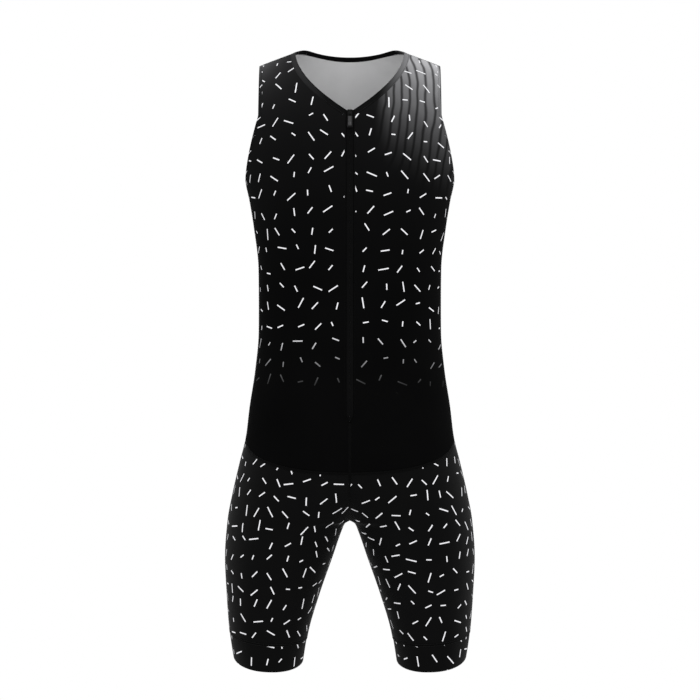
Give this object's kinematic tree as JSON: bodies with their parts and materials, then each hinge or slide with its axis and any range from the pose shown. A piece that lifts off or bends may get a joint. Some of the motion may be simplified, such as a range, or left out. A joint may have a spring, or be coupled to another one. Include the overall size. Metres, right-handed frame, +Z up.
{
  "type": "triathlon suit",
  "caption": "Sleeveless close-fitting suit with short legs, a V neck, a front zip and leg grippers, filled out as if worn.",
  "frame": {"origin": "midway between the middles of the two shoulder seams, where the wearer's shoulders hold the suit up", "axes": "+Z up; the front faces -Y; +X is the wearer's left"},
  "size_m": [0.3982, 0.2352, 0.9902],
  "materials": {
    "printed_cloth": "matte black stretch knit with short white dashes, pale grey inside",
    "gripper_cloth": "black stretch band with short white dashes",
    "binding_tape": "dark elastic binding tape",
    "zip_tape": "black woven zip tape",
    "zip_coil": "black nylon coil",
    "zip_metal": "dark grey painted slider and pull"
  },
  "bodies": {
    "suit": {"front_left": "printed_cloth", "front_right": "printed_cloth", "back": "printed_cloth", "short_front_left": "printed_cloth", "short_front_right": "printed_cloth", "short_back_left": "printed_cloth", "short_back_right": "printed_cloth", "leg_gripper_left": "gripper_cloth", "leg_gripper_right": "gripper_cloth", "neck_binding": "binding_tape", "armhole_binding_left": "binding_tape", "armhole_binding_right": "binding_tape", "zip_tape_left": "zip_tape", "zip_tape_right": "zip_tape", "zip_chain": "zip_coil", "zip_slider": "zip_metal"},
    "pull": {"zip_pull": "zip_metal"}
  },
  "joints": [
    {"name": "pull_swing", "type": "hinge", "parent": "suit", "child": "pull", "pos_m": [0, -0.10396, -0.09999], "axis": [-1, 0, 0], "range_deg": [0, 150]}
  ]
}
